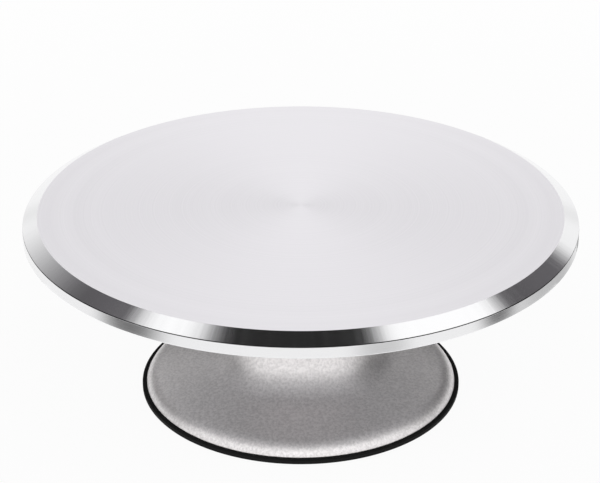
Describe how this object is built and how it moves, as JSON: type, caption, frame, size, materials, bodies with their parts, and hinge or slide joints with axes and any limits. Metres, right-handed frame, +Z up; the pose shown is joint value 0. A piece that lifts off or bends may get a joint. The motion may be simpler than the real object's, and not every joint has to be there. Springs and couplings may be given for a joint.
{
  "type": "cake turntable",
  "caption": "Round aluminium cake turntable: a bevelled plate that spins on ball bearings in the neck of a trumpet-shaped cast foot with a rubber ring under its edge.",
  "frame": {"origin": "centre of the foot on the table, under the spin axis", "axes": "+Z up along the spin axis, -Y towards the picture's camera, +X to its right"},
  "size_m": [0.305, 0.305, 0.1107],
  "materials": {
    "turned_aluminium": "fine turned satin top with a mirror-turned bevel and rim",
    "blasted_aluminium": "sand-blasted satin casting",
    "machined_aluminium": "machined, with fine turning marks",
    "black_rubber": "matt moulded rubber",
    "turned_steel": "turned and ground",
    "zinc_steel": "bright zinc plating",
    "black_steel": "black oxide with a film of oil",
    "bearing_steel": "ground and polished bearing steel",
    "shield_steel": "pressed sheet steel",
    "cage_nylon": "moulded black nylon"
  },
  "bodies": {
    "foot": {"base_casting": "blasted_aluminium", "foot_ring": "black_rubber", "upper_bearing_outer_ring": "bearing_steel", "upper_bearing_shields": "shield_steel", "lower_bearing_outer_ring": "bearing_steel", "lower_bearing_shields": "shield_steel", "bearing_retaining_ring": "black_steel"},
    "turntable": {"turntable_plate": "turned_aluminium", "plate_hub": "machined_aluminium", "hub_screws": "black_steel", "hub_lock_washers": "zinc_steel", "spindle": "turned_steel", "upper_bearing_inner_ring": "bearing_steel", "bearing_spacer": "machined_aluminium", "lower_bearing_inner_ring": "bearing_steel", "spindle_washer": "zinc_steel", "spindle_nut": "zinc_steel"},
    "upper_ball_set": {"upper_bearing_cage": "cage_nylon", "upper_bearing_balls": "bearing_steel"},
    "lower_ball_set": {"lower_bearing_cage": "cage_nylon", "lower_bearing_balls": "bearing_steel"}
  },
  "joints": [
    {"name": "plate_spin", "type": "hinge", "parent": "foot", "child": "turntable", "pos_m": [0, 0, 0], "axis": [0, 0, 1], "continuous": true},
    {"name": "upper_balls_orbit", "type": "hinge", "parent": "foot", "child": "upper_ball_set", "pos_m": [0, 0, 0], "axis": [0, 0, 1], "continuous": true},
    {"name": "lower_balls_orbit", "type": "hinge", "parent": "foot", "child": "lower_ball_set", "pos_m": [0, 0, 0], "axis": [0, 0, 1], "continuous": true}
  ],
  "couplings": [
    {"joint": "upper_balls_orbit", "follows": "plate_spin", "ratio": 0.38},
    {"joint": "lower_balls_orbit", "follows": "plate_spin", "ratio": 0.38}
  ]
}
